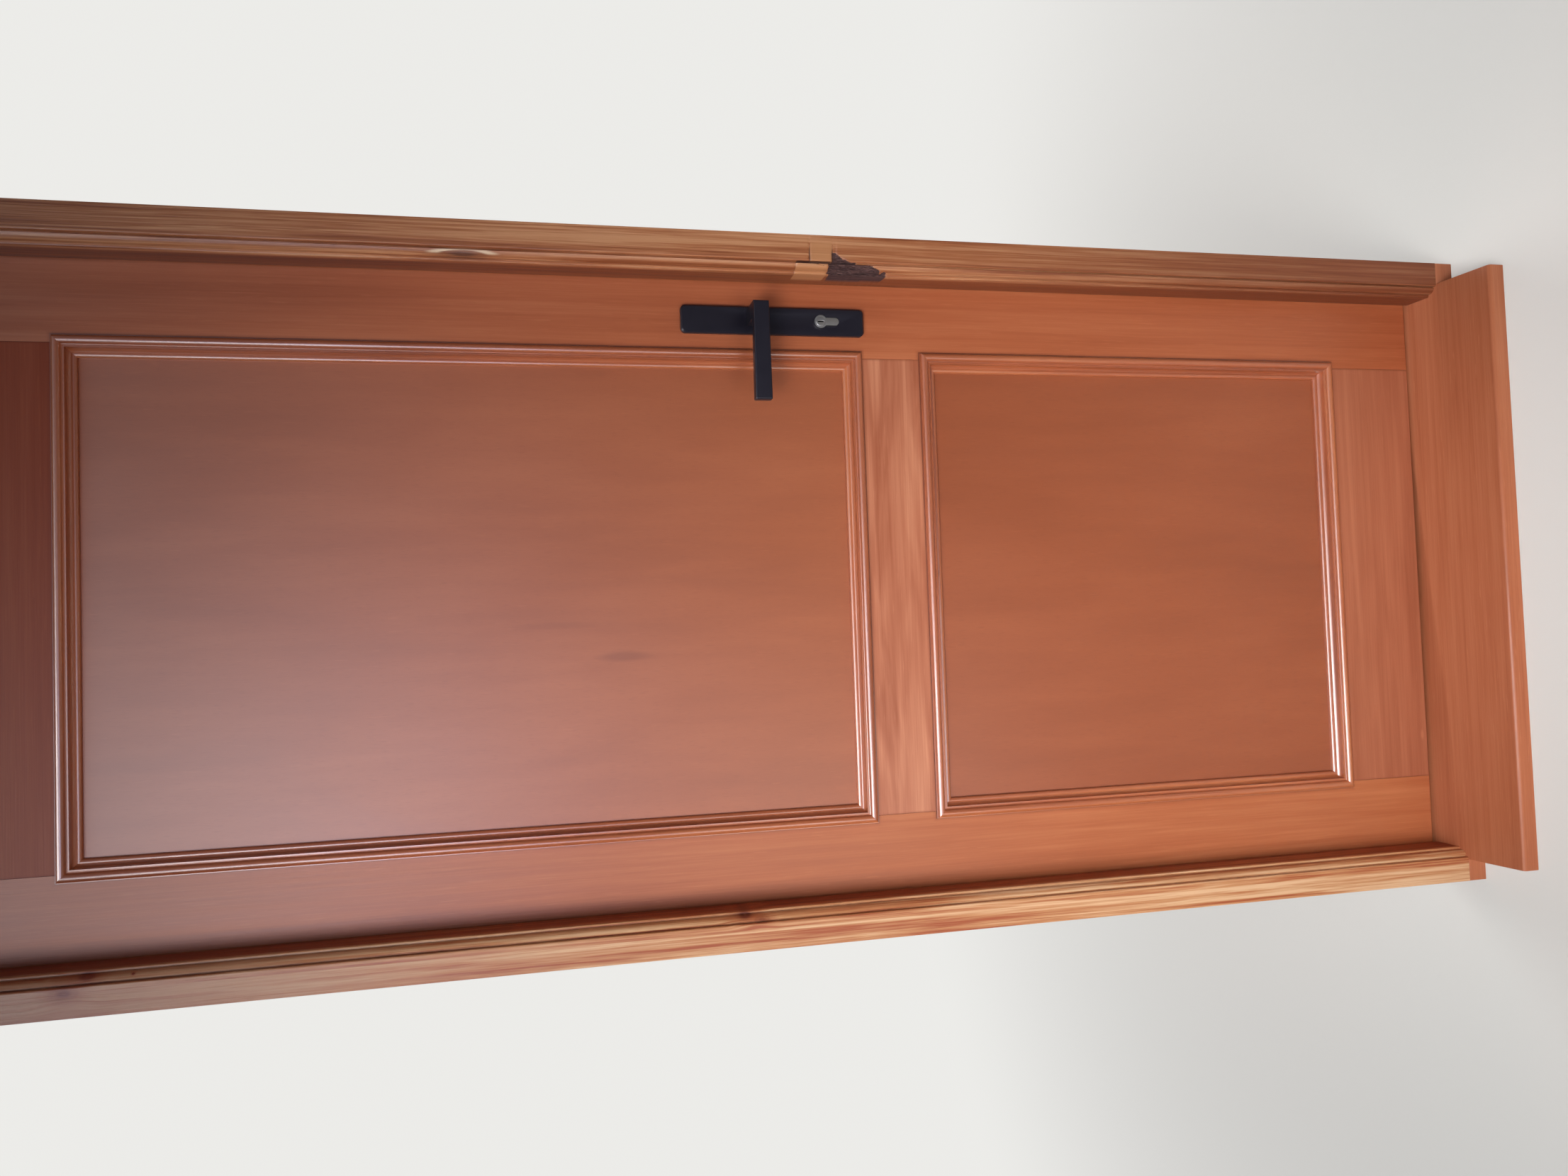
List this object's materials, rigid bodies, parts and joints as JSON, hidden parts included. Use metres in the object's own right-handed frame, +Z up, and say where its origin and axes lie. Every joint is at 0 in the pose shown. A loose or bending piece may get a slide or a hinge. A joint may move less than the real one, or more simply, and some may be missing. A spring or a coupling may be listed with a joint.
{
  "type": "two-panel timber entrance door with frame",
  "caption": "Panelled timber entrance door hung in its moulded, rebated frame on a projecting sill board, with lever handles, lock and hinges.",
  "frame": {"origin": "under the middle of the sill board, in the plane of the leaf's outer face", "axes": "+Z up, +Y inwards through the doorway, +X to the right seen from outside"},
  "size_m": [0.892, 0.265, 2.046],
  "materials": {
    "frame_timber": "worn orange-brown glaze on knotty softwood",
    "leaf_timber": "satin orange-brown glaze",
    "sill_timber": "satin orange-brown glaze",
    "panel_timber": "satin glaze on fine veneer",
    "moulding_timber": "satin orange-brown glaze",
    "seal_rubber": "dark brown rubber",
    "black_coating": "satin black powder coating",
    "nickel": "satin nickel",
    "hinge_steel": "zinc plated",
    "washer_plastic": "plain nylon",
    "steel": "zinc plated"
  },
  "bodies": {
    "frame": {"hinge_jamb": "frame_timber", "lock_jamb": "frame_timber", "head_jamb": "frame_timber", "sill_board": "sill_timber", "frame_seal": "seal_rubber", "corner_tongues": "frame_timber", "strike_plate": "steel", "strike_plate_screws": "steel", "hinge_pins": "hinge_steel", "hinge_washers": "washer_plastic", "bottom_hinge_frame_knuckle": "hinge_steel", "middle_hinge_frame_knuckle": "hinge_steel", "top_hinge_frame_knuckle": "hinge_steel"},
    "leaf": {"hinge_stile": "leaf_timber", "lock_stile": "leaf_timber", "top_rail": "leaf_timber", "mid_rail": "leaf_timber", "bottom_rail": "leaf_timber", "upper_panel": "panel_timber", "lower_panel": "panel_timber", "upper_outer_moulding_top": "moulding_timber", "upper_outer_moulding_bottom": "moulding_timber", "upper_outer_moulding_left": "moulding_timber", "upper_outer_moulding_right": "moulding_timber", "upper_inner_moulding_top": "moulding_timber", "upper_inner_moulding_bottom": "moulding_timber", "upper_inner_moulding_left": "moulding_timber", "upper_inner_moulding_right": "moulding_timber", "lower_outer_moulding_top": "moulding_timber", "lower_outer_moulding_bottom": "moulding_timber", "lower_outer_moulding_left": "moulding_timber", "lower_outer_moulding_right": "moulding_timber", "lower_inner_moulding_top": "moulding_timber", "lower_inner_moulding_bottom": "moulding_timber", "lower_inner_moulding_left": "moulding_timber", "lower_inner_moulding_right": "moulding_timber", "bottom_seal": "seal_rubber", "bottom_hinge_leaf_knuckle": "hinge_steel", "middle_hinge_leaf_knuckle": "hinge_steel", "top_hinge_leaf_knuckle": "hinge_steel", "lock_case": "steel", "lock_faceplate": "steel", "faceplate_screws": "steel", "outer_plate": "black_coating", "inner_plate": "black_coating", "plate_screws": "black_coating", "cylinder_body": "nickel", "cylinder_screw": "steel"},
    "handle": {"outer_lever": "black_coating", "inner_lever": "black_coating", "spindle": "steel", "lock_follower": "steel", "grub_screws": "black_coating"},
    "latch": {"latch_bolt": "nickel"},
    "cylinder": {"cylinder_plug": "nickel", "cylinder_cam": "nickel"},
    "bolt": {"dead_bolt": "nickel"}
  },
  "joints": [
    {"name": "leaf_swing", "type": "hinge", "parent": "frame", "child": "leaf", "pos_m": [-0.436, 0.052, 0], "axis": [0, 0, 1], "range_deg": [0, 110]},
    {"name": "lever_turn", "type": "hinge", "parent": "leaf", "child": "handle", "pos_m": [0.349, 0, 1.033], "axis": [0, -1, 0], "range_deg": [0, 35], "stiffness_Nm_per_rad": 2, "springref_deg": -28.65},
    {"name": "latch_slide", "type": "slide", "parent": "leaf", "child": "latch", "axis": [-1, 0, 0], "range_m": [0, 0.012]},
    {"name": "cylinder_turn", "type": "hinge", "parent": "leaf", "child": "cylinder", "pos_m": [0.349, 0, 0.9435], "axis": [0, 1, 0], "range_deg": [0, 360]},
    {"name": "bolt_slide", "type": "slide", "parent": "leaf", "child": "bolt", "axis": [1, 0, 0], "range_m": [0, 0.02]}
  ],
  "couplings": [
    {"joint": "latch_slide", "follows": "lever_turn", "m_per_rad": 0.01964},
    {"joint": "cylinder_turn", "follows": "bolt_slide", "rad_per_m": 314.16}
  ]
}
